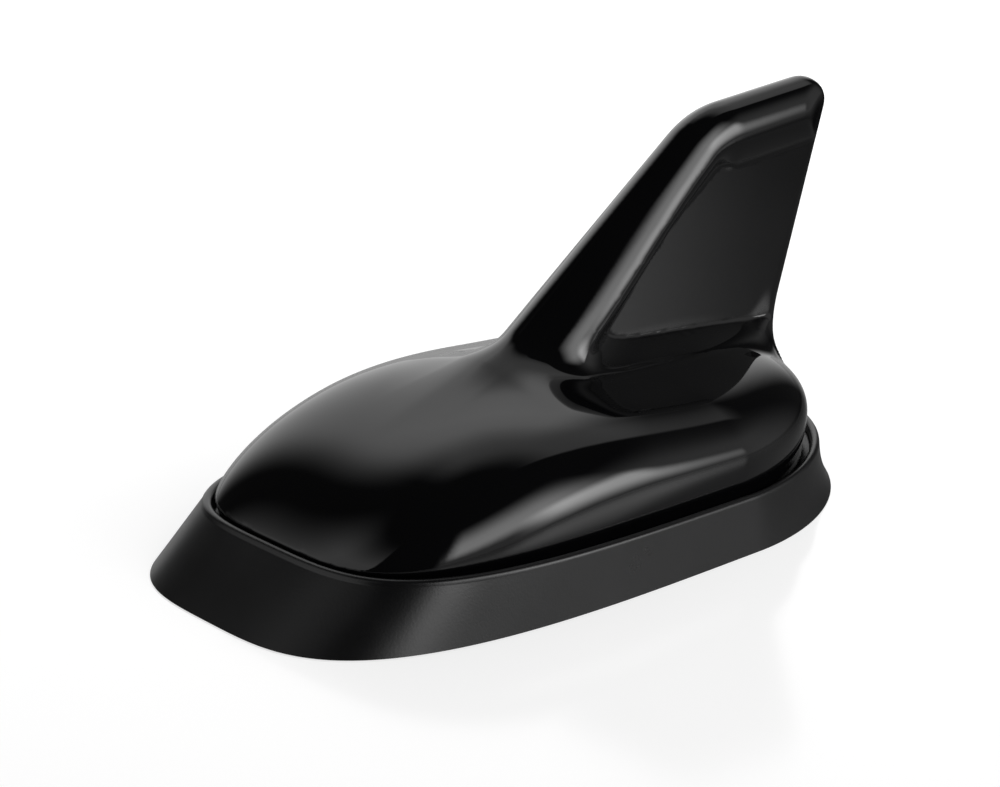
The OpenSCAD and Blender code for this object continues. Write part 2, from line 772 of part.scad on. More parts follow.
// The wound wire: up from the board, round the former, and down to the board again
steps_round = 14;
wire_sides = 6;
wind_r = (former_d / 2 + wire_d / 2 + 0.05) / cos(180 / steps_round);
wind_len = former_len - 2 * former_foot - 2 * wire_d - 1;
wind_steps = floor(coil_turns) * steps_round + steps_round / 2;
function wind_point(i) =
    let (t = i * 360 / steps_round)
    [former_x + former_foot + wire_d + 0.5 + wind_len * i / wind_steps, former_y + wind_r * cos(t),
        former_z + wind_r * sin(t), cos(t), sin(t)];
wire_path = concat(
    [[wind_point(0)[0], wind_point(0)[1], board_top, 1, 0]],
    [for (i = [0:wind_steps]) wind_point(i)],
    [[wind_point(wind_steps)[0], wind_point(wind_steps)[1], board_top, -1, 0]]);
module loading_coil() {
    color([0.75, 0.42, 0.22])
        placed()
            ring_skin([for (p = wire_path) [for (k = [wire_sides - 1:-1:0])
                let (t = k * 360 / wire_sides)
                [p[0] + wire_d / 2 * sin(t), p[1] + wire_d / 2 * cos(t) * p[3], p[2] + wire_d / 2 * cos(t) * p[4]]]]);
}

// Upright board in the fin, its tongue in a header on the main board
header_x = board_x + 0.3125 * board_len;
header_l = 0.28 * board_len;
header_h = 5;
header_w = 4.4;
tongue_z = board_top + 1.2;
module fin_header() {
    color([0.1, 0.1, 0.1])
        placed()
            translate([header_x - header_l / 2, 0, board_top])
                difference() {
                    translate([0, -header_w / 2, 0])
                        cube([header_l, header_w, header_h]);
                    translate([1, -fin_board_t / 2 - snug, tongue_z - board_top])
                        cube([header_l - 2, fin_board_t + 2 * snug, header_h]);
                }
}
board_in = slot_in + 1;
module fin_board() {
    color([0.05, 0.3, 0.16])
        placed()
            union() {
                upright(-fin_board_t / 2, fin_board_t / 2)
                    fin_inner_outline(board_in);
                translate([header_x - header_l / 2 + 1 + free, -fin_board_t / 2, tongue_z])
                    cube([header_l - 2 - 2 * free, fin_board_t, root_z - tongue_z]);
            }
}
foil_t = 0.15;
foil_cut = 1.2;
foil_ends = [46, 44, 54, 60, 62];
module foil_side(y0, y1) {
    upright(y0, y1)
        difference() {
            fin_inner_outline(board_in + 1.5);
            translate([0, tongue_z])
                square([base_len, up_fin(0.12) - tongue_z]);
            for (i = [0:4])
                translate([0, up_fin(0.237 + i * 0.138)])
                    square([foil_ends[i], foil_cut]);
        }
}
module fin_element() {
    color([0.72, 0.45, 0.25])
        placed() {
            foil_side(fin_board_t / 2, fin_board_t / 2 + foil_t);
            foil_side(-fin_board_t / 2 - foil_t, -fin_board_t / 2);
        }
}
// Foam pads that hold the upright board clear of the slot's walls
pad_size = [7, 5];
function up_fin(share) = mix(root_z, fin_h, share);
pad_places = [[40, up_fin(0.365)], [52, up_fin(0.562)]];
module fin_pads() {
    color([0.25, 0.25, 0.27])
        placed()
            for (p = pad_places)
                for (s = [0, 1])
                    mirror([0, s, 0])
                        upright(fin_board_t / 2 + foil_t, slot_half)
                            translate(p)
                                square(pad_size);
}

cover();
skirt();
base_plate();
cover_screws();
tape_ring();
stud_bush();
contact_lug();
bush_washer();
bush_nut();
lead_grommet();
main_board();
board_screws();
lead_socket();
socket_pins();
shield_can();
amplifier_chip();
transistor();
filter_chokes();
smoothing_capacitor();
chip_capacitors();
coil_former();
loading_coil();
fin_header();
fin_board();
fin_element();
fin_pads();
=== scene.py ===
import bpy
import bmesh
import numpy as np
from math import radians, sin, cos, pi
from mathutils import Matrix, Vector


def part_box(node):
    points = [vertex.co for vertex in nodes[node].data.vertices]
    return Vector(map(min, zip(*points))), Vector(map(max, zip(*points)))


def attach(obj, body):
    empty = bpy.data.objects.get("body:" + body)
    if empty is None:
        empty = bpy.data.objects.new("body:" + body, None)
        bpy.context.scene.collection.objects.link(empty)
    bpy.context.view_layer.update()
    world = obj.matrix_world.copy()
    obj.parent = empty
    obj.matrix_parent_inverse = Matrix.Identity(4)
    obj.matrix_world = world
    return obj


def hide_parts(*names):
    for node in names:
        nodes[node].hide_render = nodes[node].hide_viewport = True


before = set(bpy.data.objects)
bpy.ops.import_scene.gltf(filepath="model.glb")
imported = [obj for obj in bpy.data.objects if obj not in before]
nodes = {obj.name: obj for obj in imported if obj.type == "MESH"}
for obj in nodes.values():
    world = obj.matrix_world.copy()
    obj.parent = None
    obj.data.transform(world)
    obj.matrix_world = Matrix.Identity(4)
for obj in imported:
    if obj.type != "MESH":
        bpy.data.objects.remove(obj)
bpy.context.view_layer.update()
scene = bpy.context.scene
mm = 0.001


def toLinear(code):
    code = code.lstrip("#")
    srgb = [int(code[i:i + 2], 16) / 255 for i in (0, 2, 4)]
    return tuple(c / 12.92 if c <= 0.04045 else ((c + 0.055) / 1.055) ** 2.4 for c in srgb) + (1.0,)


def addNode(tree, kind, settings=None, links=None):
    # one node with its settings and the sockets that feed it
    node = tree.nodes.new(kind)
    for key, value in (settings or {}).items():
        if key in node.inputs.keys():
            node.inputs[key].default_value = value
        else:
            setattr(node, key, value)
    for key, source in (links or {}).items():
        tree.links.new(source, node.inputs[key])
    return node


def newMaterial(name):
    material = bpy.data.materials.new(name)
    material.use_nodes = True
    material.node_tree.nodes.clear()
    return material, material.node_tree


def smoothstep(lo, hi, value):
    t = np.clip((value - lo) / (hi - lo), 0, 1)
    return t * t * (3 - 2 * t)


def mixed(a, b, k):
    return a + (b - a) * k


def softMin(a, b, r):
    # the smaller of two distances, with the corner between them rounded
    h = np.maximum(r - np.abs(a - b), 0) / r
    return np.minimum(a, b) - h * h * r / 4


# Outlines and heights of the skirt, in millimetres from the middle of its foot, and the rings it is made of
skirtForm = {
    "halfLen": 67.5, "halfWidth": 39.2, "widestX": 21.0, "footPower": (3.4, 1.9), "rimPower": (3.7, 1.82),
    "slopeNose": 11.8, "slopeTail": 1.8, "slopeSide": 1.9, "beadNose": 10.3, "beadTail": 9.2, "beadR": 0.85,
    "wall": 2.2, "ledgeZ": 7.0, "flangeZ": 5.0, "flangeIn": 1.5, "lip": 0.3, "flareIn": 2.4,
    "around": 288, "slopeRows": 9, "lastRow": 0.985, "beadRows": 8, "sharp": 70,
}
# The dome: gaps to the bead, heights, the powers of its rounding at nose and tail, its fillets to the fin
# and where along the length they change, and how its skin is made
coverForm = {
    "inNose": 1.9, "inSide": 2.3, "inTail": 2.8, "domeZ": 9.4, "domeNose": 20.4, "domeTail": 16.8,
    "tuck": (0.15, 0.7), "beltNose": 0.25, "beltTail": 5.0, "crownOver": (-23, 33),
    "p": (3.3, 2.7), "q": (1.07, 2.15), "wall": 2.2,
    "fillet": 4.0, "rootFillet": 10.5, "rootOver": (-9, 5), "heelFillet": 8.0, "heelOver": (54, 62),
    "voxel": 0.65, "innerZ": 7.6, "turns": 10, "ease": 0.6, "draw": (2, 1.0), "lastDraw": (3, 0.5),
}
# The fin: its four edges and corner radii, the bevel that widens it from its edge to a soft shoulder, and
# the step from the shoulder down to the side panel. Pairs are for the leading and the top edge.
finForm = {
    "height": 71.4, "tipReach": 8.95, "sweep": 36.7, "rake": 18.0, "topSlope": 4.9, "topLen": 34.2,
    "tipExtra": 1.5, "kinkR": 22.0, "tipR": 5.0, "noseHalf": 1.6, "noseRound": 2.4, "shoulder": 2.7,
    "bevel": (0.79, 0.82), "crestPast": (1.5, 2.0),
    "stepFoot": 14.2, "stepTo": (9.6, 12.2), "stepOver": (25, 52),
    "crestFoot": 9.2, "crestTop": 5.8, "crestFrom": 34.0, "crestTo": 70.0, "halfHeel": 5.0,
    "panelTop": 3.7, "panelFoot": 3.8, "rootX": 30.0, "rootZ": 19.5, "footShareZ": 27.0,
    "ledgeRise": 6.5, "ledgeStep": 3.0, "flare": 3.5, "flareOver": (-2, 13), "cornerBlend": 1.2,
    "creaseShare": 0.12, "trailOver": (0.5, 8), "middleRound": 1.0,
}
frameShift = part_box("skirt")[0].x / mm + skirtForm["halfLen"]


def eggPoint(a, noseLen, tailLen, halfWidth, powers):
    c, s = cos(a), sin(a)
    e = powers[0] if c < 0 else powers[1]
    k = (abs(c) ** e + abs(s) ** e) ** (1 / e)
    return skirtForm["widestX"] + (noseLen if c < 0 else tailLen) * c / k, halfWidth * s / k


def footAt(a, inset):
    f = skirtForm
    return eggPoint(a, f["halfLen"] + f["widestX"] - inset, f["halfLen"] - f["widestX"] - inset,
                    f["halfWidth"] - inset, f["footPower"])


def rimAt(a, inset):
    f = skirtForm
    return eggPoint(a, f["halfLen"] + f["widestX"] - f["slopeNose"] - inset,
                    f["halfLen"] - f["widestX"] - f["slopeTail"] - inset,
                    f["halfWidth"] - f["slopeSide"] - inset, f["rimPower"])


def edgeSizes(inset):
    f, c = skirtForm, coverForm
    return (f["halfLen"] + f["widestX"] - f["slopeNose"] - c["inNose"] - inset,
            f["halfLen"] - f["widestX"] - f["slopeTail"] - c["inTail"] - inset,
            f["halfWidth"] - f["slopeSide"] - c["inSide"] - inset)


def domeField(x, y, z):
    # 0 on the dome, less inside it
    c, wx = coverForm, skirtForm["widestX"]
    noseLen, tailLen, halfWidth = edgeSizes(0)
    dx = x - wx
    e = np.where(dx < 0, skirtForm["rimPower"][0], skirtForm["rimPower"][1])
    length = np.where(dx < 0, noseLen, tailLen)
    rho = np.maximum((np.abs(dx / length) ** e + np.abs(y / halfWidth) ** e) ** (1 / e), 1e-4)
    m = smoothstep(-skirtForm["halfLen"], 0, wx + dx / rho)
    belt = mixed(c["beltNose"], c["beltTail"], m)
    crown = mixed(c["domeNose"], c["domeTail"], smoothstep(*c["crownOver"], x))
    up = (z - c["domeZ"] - belt) / (crown - belt)
    p, q = mixed(c["p"][0], c["p"][1], m), mixed(c["q"][0], c["q"][1], m)
    share = np.clip((z - c["domeZ"]) / belt, -1, 1)
    low = rho * halfWidth / (halfWidth - mixed(*c["tuck"], m) * np.minimum((1 - share) ** 2, 1))
    return np.where(up > 0, rho ** p + np.maximum(up, 0) ** q - 1, low ** p - 1)


def finField(x, y, z):
    f = finForm
    s, t, r = radians(f["sweep"]), radians(f["topSlope"]), radians(f["rake"])
    tipX, tipZ = skirtForm["halfLen"] + f["tipReach"] + f["tipExtra"], f["height"]
    kinkX, kinkZ = tipX - f["topLen"] * cos(t), tipZ - f["topLen"] * sin(t)
    leadDir, topDir, downDir = (cos(s), sin(s)), (cos(t), sin(t)), (-sin(r), -cos(r))
    lead = (x - kinkX) * sin(s) - (z - kinkZ) * cos(s)
    top = (x - tipX) * sin(t) - (z - tipZ) * cos(t)
    trail = -(x - tipX) * cos(r) + (z - tipZ) * sin(r)
    foot = (x - f["rootX"]) * sin(t) + (z - f["rootZ"]) * cos(t)

    def rounded(da, db, na, nb, along, against, radius, cornerX, cornerZ):
        # distance in from two edges that meet in an arc, and how far round the arc the point is
        det = na[0] * nb[1] - na[1] * nb[0]
        cx = cornerX + radius * (nb[1] - na[1]) / det
        cz = cornerZ + radius * (na[0] - nb[0]) / det
        vx, vz = x - cx, z - cz
        inWedge = (vx * along[0] + vz * along[1] > 0) & (vx * against[0] + vz * against[1] < 0)
        span = np.arccos(np.clip(na[0] * nb[0] + na[1] * nb[1], -1, 1))
        length = np.maximum(np.hypot(vx, vz), 1e-6)
        turned = np.arccos(np.clip(-(vx * na[0] + vz * na[1]) / length, -1, 1)) / span
        return np.where(inWedge, radius - length, np.minimum(da, db)), inWedge, np.clip(turned, 0, 1)

    nLead, nTop, nTrail = (sin(s), -cos(s)), (sin(t), -cos(t)), (-cos(r), sin(r))
    dKink, atKink, kinkTurn = rounded(lead, top, nLead, nTop, leadDir, topDir, f["kinkR"], kinkX, kinkZ)
    dTip, atTip, _ = rounded(top, trail, nTop, nTrail, topDir, downDir, f["tipR"], tipX, tipZ)
    rim = np.where(atKink, dKink, np.minimum(lead, top))
    outline = np.where(atTip, dTip, np.minimum(rim, trail))
    onTop = smoothstep(0, 1, np.where(atKink, kinkTurn, np.where(lead < top, 0.0, 1.0)))
    down = np.clip((f["height"] - z) / (f["height"] - f["footShareZ"]), 0, 1)
    crest = mixed(f["crestFoot"], f["crestTop"], smoothstep(f["crestFrom"], f["crestTo"], z))
    crest = mixed(crest, f["halfHeel"], smoothstep(0, skirtForm["halfLen"], x) * down)
    crest = crest + f["flare"] * (1 - smoothstep(*f["flareOver"], foot))
    panelHalf = mixed(f["panelTop"], f["panelFoot"], down)
    slope = mixed(*f["bevel"], onTop)
    crestAt = slope * (crest - f["noseHalf"]) + mixed(*f["crestPast"], onTop)
    stepTo = mixed(mixed(f["stepFoot"], f["stepTo"][0], smoothstep(*f["stepOver"], z)), f["stepTo"][1], onTop)
    # share of the way down the step, with a rounded corner where its front and the ledge meet
    stepShare, ledgeShare = (rim - crestAt) / (stepTo - crestAt), (foot - f["ledgeRise"]) / f["ledgeStep"]
    corner = np.maximum(f["cornerBlend"] - np.abs(stepShare - ledgeShare), 0) / f["cornerBlend"]
    along = np.clip(np.minimum(stepShare, ledgeShare) - corner ** 2 * f["cornerBlend"] / 4, 0, 1)
    crease = 1 - f["creaseShare"]
    bend = 1 - cos(pi / 2 * crease)
    last = np.clip((along - crease) / (1 - crease), 0, 1)
    sink = np.where(along < crease, 1 - np.cos(pi / 2 * along), bend + (1 - bend) * (1 - (1 - last) ** 2))
    sink = np.maximum(sink, 1 - smoothstep(*f["trailOver"], trail))
    across = np.sqrt(y * y + f["middleRound"] ** 2)
    bevel = (rim + (f["noseHalf"] - across) * slope) / np.sqrt(1 + slope ** 2)
    side = mixed(crest, panelHalf, sink) - across
    inside = softMin(softMin(bevel, side, f["shoulder"]), outline, f["noseRound"])
    return np.maximum(-inside, -foot)


def distanceTo(field, points):
    # first-order distance in millimetres from a field's value and its slope
    x, y, z = points.T
    value, e = field(x, y, z), 0.02
    slope = np.stack([field(x + e, y, z) - field(x - e, y, z), field(x, y + e, z) - field(x, y - e, z),
                      field(x, y, z + e) - field(x, y, z - e)], 1) / (2 * e)
    return value / np.maximum(np.linalg.norm(slope, axis=1), 1e-5)


def coverDistance(points):
    # dome and fin joined by a soft fillet, wider ahead of the leading edge and behind the heel
    c, x = coverForm, points[:, 0]
    dome, fin = distanceTo(domeField, points), distanceTo(finField, points)
    dome = np.maximum(dome, points[:, 2] - c["domeZ"] - c["domeNose"])
    r = mixed(c["rootFillet"], c["fillet"], smoothstep(*c["rootOver"], x))
    r = mixed(r, c["heelFillet"], smoothstep(*c["heelOver"], x))
    return softMin(dome, fin, r)


def drawOnto(points, steps, reach):
    # moves points along the slope of the joined form until they lie on it
    e, leastSize = 0.05, 0.2
    for _ in range(steps):
        value = coverDistance(points)
        slope = np.stack([(coverDistance(points + d) - coverDistance(points - d)) / (2 * e)
                          for d in np.eye(3) * e], 1)
        size = np.maximum((slope ** 2).sum(1), leastSize)
        points = points - np.clip(value / size, -reach, reach)[:, None] * slope
    return points


def meshObject(name, bm, material, smooth=True):
    mesh = bpy.data.meshes.new(name)
    bm.to_mesh(mesh)
    bm.free()
    mesh.materials.append(material)
    for face in mesh.polygons:
        face.use_smooth = smooth
    piece = bpy.data.objects.new(name, mesh)
    scene.collection.objects.link(piece)
    return piece


def makeCoverSkin(material):
    # a voxel skin of the CAD cover, whose outer side is then drawn onto the smooth form
    source = bpy.data.objects.new("coverSource", nodes["cover"].data.copy())
    scene.collection.objects.link(source)
    bm = bmesh.new()
    bm.from_mesh(source.data)
    bmesh.ops.remove_doubles(bm, verts=bm.verts, dist=1e-6)
    bm.to_mesh(source.data)
    bm.free()
    skin = source.modifiers.new("skin", "REMESH")
    skin.mode, skin.voxel_size, skin.adaptivity = "VOXEL", coverForm["voxel"] * mm, 0
    bpy.context.view_layer.update()
    remeshed = bpy.data.meshes.new_from_object(source.evaluated_get(bpy.context.evaluated_depsgraph_get()))
    bpy.data.objects.remove(source)
    count = len(remeshed.vertices)
    points = np.empty(count * 3)
    remeshed.vertices.foreach_get("co", points)
    points = points.reshape(-1, 3) / mm - [frameShift, 0, 0]
    pairs = np.empty(len(remeshed.edges) * 2, np.int64)
    remeshed.edges.foreach_get("vertices", pairs)
    pairs = pairs.reshape(-1, 2)
    # the outside is all that can be reached from the fin's tip without passing under the cover's edge
    free = points[:, 2] > coverForm["innerZ"]
    outer = np.zeros(count, bool)
    fresh = points[:, 2].argmax()
    while np.size(fresh):
        outer[fresh] = True
        border = pairs[outer[pairs[:, 0]] != outer[pairs[:, 1]]].ravel()
        fresh = border[free[border] & ~outer[border]]
    ties = np.bincount(pairs.ravel(), minlength=count)[:, None]
    for _ in range(coverForm["turns"]):
        total = np.zeros_like(points)
        np.add.at(total, pairs[:, 0], points[pairs[:, 1]])
        np.add.at(total, pairs[:, 1], points[pairs[:, 0]])
        points[outer] = mixed(points, total / ties, coverForm["ease"])[outer]
        points[outer] = drawOnto(points[outer], *coverForm["draw"])
    points[outer] = drawOnto(points[outer], *coverForm["lastDraw"])
    remeshed.vertices.foreach_set("co", ((points + [frameShift, 0, 0]) * mm).ravel())
    remeshed.materials.clear()
    remeshed.materials.append(material)
    remeshed.name = "coverShell"
    for face in remeshed.polygons:
        face.use_smooth = True
    remeshed.update()
    piece = bpy.data.objects.new("coverShell", remeshed)
    scene.collection.objects.link(piece)
    print("cover:", count, "points,", len(remeshed.polygons), "faces,", int(outer.sum()), "on the outside")
    return piece


def makeSkirt(material):
    f = skirtForm
    angles = [2 * pi * i / f["around"] for i in range(f["around"])]

    def section(a):
        foot, rim = footAt(a, 0), rimAt(a, 0)
        beadZ = mixed(f["beadNose"], f["beadTail"], (rim[0] + f["halfLen"]) / (2 * f["halfLen"]))
        side, flare = beadZ - f["beadR"], max(0, cos(a))
        points = []
        for s in [i / f["slopeRows"] for i in range(f["slopeRows"])] + [f["lastRow"]]:
            g = mixed(s, 1 - (1 - s) ** f["flareIn"], flare)
            points.append((mixed(foot[0], rim[0], g), mixed(foot[1], rim[1], g), s * side))
        for i in range(f["beadRows"] + 1):
            t = pi * i / f["beadRows"]
            p = rimAt(a, f["beadR"] * (1 - cos(t)))
            points.append((p[0], p[1], side + f["beadR"] * sin(t)))
        inner = coverForm["wall"] + coverForm["tuck"][1] + f["flangeIn"]
        edge = eggPoint(a, *edgeSizes(inner), f["rimPower"])
        low = rimAt(a, 2 * f["beadR"])
        lip = rimAt(a, 2 * f["beadR"] + f["lip"])
        for p, z in ((low, f["ledgeZ"] + f["lip"]), (lip, f["ledgeZ"]), (edge, f["ledgeZ"]),
                     (edge, f["flangeZ"]), (rimAt(a, f["wall"]), f["flangeZ"]), (footAt(a, f["wall"]), 0.0)):
            points.append((p[0], p[1], z))
        return points

    rings = list(zip(*[section(a) for a in angles]))
    bm = bmesh.new()
    bmesh.ops.create_circle(bm, segments=f["around"], radius=1)
    bm.verts.ensure_lookup_table()
    first = list(bm.verts)
    order = sorted(range(len(first)), key=lambda i: np.arctan2(first[i].co.y, first[i].co.x) % (2 * pi))
    ring = [first[i] for i in order]
    firstEdges = edges = list(bm.edges)
    for r, places in enumerate(rings):
        if r:
            grown = bmesh.ops.extrude_edge_only(bm, edges=edges)["geom"]
            fresh = {g for g in grown if isinstance(g, bmesh.types.BMVert)}
            edges = [g for g in grown
                     if isinstance(g, bmesh.types.BMEdge) and all(v in fresh for v in g.verts)]
            follow = {}
            for v in fresh:
                for e in v.link_edges:
                    other = e.other_vert(v)
                    if other in ringSet:
                        follow[other] = v
            ring = [follow[v] for v in ring]
        ringSet = set(ring)
        for v, p in zip(ring, places):
            v.co = Vector(((p[0] + frameShift) * mm, p[1] * mm, p[2] * mm))
    bmesh.ops.bridge_loops(bm, edges=edges + firstEdges)
    bmesh.ops.recalc_face_normals(bm, faces=bm.faces)
    print("skirt:", len(rings), "rings of", f["around"], "points")
    return meshObject("rubberSkirt", bm, material)


def markSharp(piece, degrees):
    # edges sharper than this stay crisp under smooth shading
    bm = bmesh.new()
    bm.from_mesh(piece.data)
    for e in bm.edges:
        if len(e.link_faces) == 2 and e.calc_face_angle(0) > radians(degrees):
            e.smooth = False
    bm.to_mesh(piece.data)
    bm.free()


def finishedMaterial(name, look):
    # colour that drifts between two tones, roughness that drifts with it, and a fine bump for the surface;
    # a noise lies mostly between low and high, and the bands of a wave stand about 0.3 / Scale apart
    low, high = 0.3, 0.7
    grains, waves = 1 / (look["grainMm"] * mm), 0.3 / (look["grainMm"] * mm)
    material, tree = newMaterial(name)
    place = addNode(tree, "ShaderNodeTexCoord").outputs["Object"]
    drift = addNode(tree, "ShaderNodeTexNoise", {"Scale": 1 / (look["driftMm"] * mm), "Detail": 5.0},
                    {"Vector": place})
    tone = addNode(tree, "ShaderNodeValToRGB", None, {"Fac": drift.outputs["Fac"]})
    for element, position, colour in zip(tone.color_ramp.elements, (low, high), look["colours"]):
        element.position, element.color = position, toLinear(colour)
    smoothest, roughest = look["rough"]
    rough = addNode(tree, "ShaderNodeMapRange",
                    {"From Min": low, "From Max": high, "To Min": smoothest, "To Max": roughest},
                    {"Value": drift.outputs["Fac"]})
    if look.get("grain") == "cells":
        fine = addNode(tree, "ShaderNodeTexVoronoi", {"Scale": grains}, {"Vector": place})
        height = fine.outputs["Distance"]
    elif look.get("grain") == "rings":
        turned = addNode(tree, "ShaderNodeMapping", {"Location": look["middle"]}, {"Vector": place})
        fine = addNode(tree, "ShaderNodeTexWave",
                       {"wave_type": "RINGS", "rings_direction": "Z", "Distortion": 0.3, "Scale": waves},
                       {"Vector": turned.outputs["Vector"]})
        height = fine.outputs["Fac"]
    elif look.get("grain") == "weave":
        warp = addNode(tree, "ShaderNodeTexWave", {"bands_direction": "X", "Scale": waves}, {"Vector": place})
        weft = addNode(tree, "ShaderNodeTexWave", {"bands_direction": look.get("weft", "Y"), "Scale": waves},
                       {"Vector": place})
        height = addNode(tree, "ShaderNodeMath", {"operation": "MULTIPLY"},
                         {0: warp.outputs["Fac"], 1: weft.outputs["Fac"]}).outputs[0]
    else:
        fine = addNode(tree, "ShaderNodeTexNoise", {"Scale": grains, "Detail": 3.0}, {"Vector": place})
        height = fine.outputs["Fac"]
    bump = addNode(tree, "ShaderNodeBump", {"Strength": look["bump"], "Distance": look["bumpMm"] * mm},
                   {"Height": height})
    settings = {"Metallic": look.get("metal", 0.0), "IOR": look.get("ior", 1.5)}
    settings.update(look.get("shader", {}))
    shader = addNode(tree, "ShaderNodeBsdfPrincipled", settings,
                     {"Base Color": tone.outputs["Color"], "Roughness": rough.outputs["Result"],
                      "Normal": bump.outputs["Normal"]})
    addNode(tree, "ShaderNodeOutputMaterial", None, {"Surface": shader.outputs["BSDF"]})
    return material


bushX = sum(corner.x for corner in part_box("stud_bush")) / 2
# What each finish is, how its surface was made, and what that gives the eye. Sizes in millimetres.
looks = {
    # ABS, injection moulded in a polished tool: deep black, a clear mirror-like sheen, the faintest waviness
    "glossBlackAbs": {"colours": ("#050506", "#070708"), "driftMm": 30, "rough": (0.03, 0.06),
                      "grainMm": 9.0, "bump": 0.02, "bumpMm": 0.2},
    # EPDM rubber, moulded against a blasted tool: dull sheen broken by a fine grain
    "satinEpdmRubber": {"colours": ("#0a0a0b", "#0e0e0f"), "driftMm": 16, "rough": (0.27, 0.34), "ior": 1.46,
                        "grainMm": 0.4, "bump": 0.12, "bumpMm": 0.1},
    # Glass filled nylon, moulded: grey-black with a faint sparkle of fibre ends
    "glassFilledNylon": {"colours": ("#1a1a1b", "#232325"), "driftMm": 6, "rough": (0.42, 0.6), "ior": 1.53,
                         "grainMm": 0.5, "bump": 0.3, "bumpMm": 0.08},
    # Acrylic foam tape, cast and cut: matt grey with open cells
    "acrylicFoam": {"colours": ("#6d6e70", "#7c7d80"), "driftMm": 4, "rough": (0.85, 0.95), "grain": "cells",
                    "grainMm": 0.6, "bump": 0.5, "bumpMm": 0.12},
    # Polyurethane foam strip, die cut: darker than the tape, coarser cells
    "softFoam": {"colours": ("#3b3b3e", "#4a4a4d"), "driftMm": 3, "rough": (0.9, 0.98), "grain": "cells",
                 "grainMm": 0.5, "bump": 0.6, "bumpMm": 0.15},
    # Steel, zinc plated: bright and slightly blue with soft blooms
    "zincPlatedSteel": {"colours": ("#b9bcc2", "#cfd1d4"), "driftMm": 2.5, "rough": (0.22, 0.38),
                        "metal": 1.0, "grainMm": 0.3, "bump": 0.1, "bumpMm": 0.03},
    # Brass, turned on a lathe: yellow with rings from the tool, round the bush's middle
    "turnedBrass": {"colours": ("#c9a452", "#d8b566"), "driftMm": 5, "rough": (0.16, 0.28), "metal": 1.0,
                    "grain": "rings", "grainMm": 0.25, "bump": 0.2, "bumpMm": 0.02, "middle": (-bushX, 0, 0)},
    # Brass strip, stamped and tinned thinly: paler, soft scratches
    "stampedBrass": {"colours": ("#c3a468", "#d2bb86"), "driftMm": 3, "rough": (0.25, 0.4), "metal": 1.0,
                     "grainMm": 0.4, "bump": 0.1, "bumpMm": 0.03},
    # Glass cloth and epoxy board under green resist: glossy lacquer over a faint weave
    "resistBoard": {"colours": ("#0c4f2e", "#11603a"), "driftMm": 9, "rough": (0.22, 0.34), "grain": "weave",
                    "grainMm": 0.6, "bump": 0.25, "bumpMm": 0.03},
    "uprightBoard": {"colours": ("#0c4f2e", "#11603a"), "driftMm": 9, "rough": (0.22, 0.34), "grain": "weave",
                     "weft": "Z", "grainMm": 0.6, "bump": 0.25, "bumpMm": 0.03},
    # Tinned steel sheet, pressed: soft mirror with a cloudy bloom
    "tinnedSheet": {"colours": ("#bdbdbb", "#d2d2ce"), "driftMm": 3, "rough": (0.25, 0.42), "metal": 1.0,
                    "grainMm": 0.5, "bump": 0.12, "bumpMm": 0.03},
    # Epoxy moulding compound: matt black with a sandy face
    "mouldedEpoxy": {"colours": ("#161617", "#1f1f21"), "driftMm": 1.5, "rough": (0.5, 0.66),
                     "grainMm": 0.15, "bump": 0.35, "bumpMm": 0.03},
    # Ferrite, pressed and sintered: dark brown-grey, slightly porous
    "sinteredFerrite": {"colours": ("#242120", "#302c2a"), "driftMm": 1.2, "rough": (0.5, 0.7),
                        "grainMm": 0.2, "bump": 0.4, "bumpMm": 0.04},
    # Aluminium can, deep drawn: satin with lines round it
    "drawnAluminium": {"colours": ("#c5c7c9", "#d8d9da"), "driftMm": 2, "rough": (0.25, 0.36), "metal": 1.0,
                       "grainMm": 0.3, "bump": 0.1, "bumpMm": 0.02},
    # Barium titanate ceramic, fired: tan and matt
    "firedCeramic": {"colours": ("#9a8058", "#ab9068"), "driftMm": 1.0, "rough": (0.4, 0.55),
                     "grainMm": 0.2, "bump": 0.2, "bumpMm": 0.02},
    # Natural nylon, moulded: milky off-white with light inside it
    "naturalNylon": {"colours": ("#d8d3c2", "#e3dfd0"), "driftMm": 4, "rough": (0.35, 0.48), "ior": 1.53,
                     "grainMm": 0.4, "bump": 0.15, "bumpMm": 0.05,
                     "shader": {"Subsurface Weight": 0.3, "Subsurface Scale": 0.001}},
    # Enamelled copper wire, drawn: red-brown metal under a clear coat
    "enamelledCopper": {"colours": ("#a8562f", "#b96a40"), "driftMm": 2, "rough": (0.25, 0.35), "metal": 1.0,
                        "grainMm": 0.3, "bump": 0.08, "bumpMm": 0.02, "shader": {"Coat Weight": 0.6}},
    # Copper foil, etched: flatter and pinker than the wire
    "etchedCopper": {"colours": ("#b87552", "#c98964"), "driftMm": 5, "rough": (0.28, 0.42), "metal": 1.0,
                     "grainMm": 0.4, "bump": 0.1, "bumpMm": 0.02},
}
nodeLooks = {
    "base_plate": "glassFilledNylon", "cover_screws": "zincPlatedSteel", "tape_ring": "acrylicFoam",
    "stud_bush": "turnedBrass", "contact_lug": "stampedBrass", "bush_washer": "zincPlatedSteel",
    "bush_nut": "zincPlatedSteel", "lead_grommet": "satinEpdmRubber", "main_board": "resistBoard",
    "board_screws": "zincPlatedSteel", "shield_can": "tinnedSheet", "amplifier_chip": "mouldedEpoxy",
    "transistor": "mouldedEpoxy", "filter_chokes": "sinteredFerrite", "smoothing_capacitor": "drawnAluminium",
    "chip_capacitors": "firedCeramic", "coil_former": "naturalNylon", "loading_coil": "enamelledCopper",
    "lead_socket": "naturalNylon", "socket_pins": "stampedBrass", "fin_header": "mouldedEpoxy",
    "fin_board": "uprightBoard", "fin_element": "etchedCopper", "fin_pads": "softFoam",
}


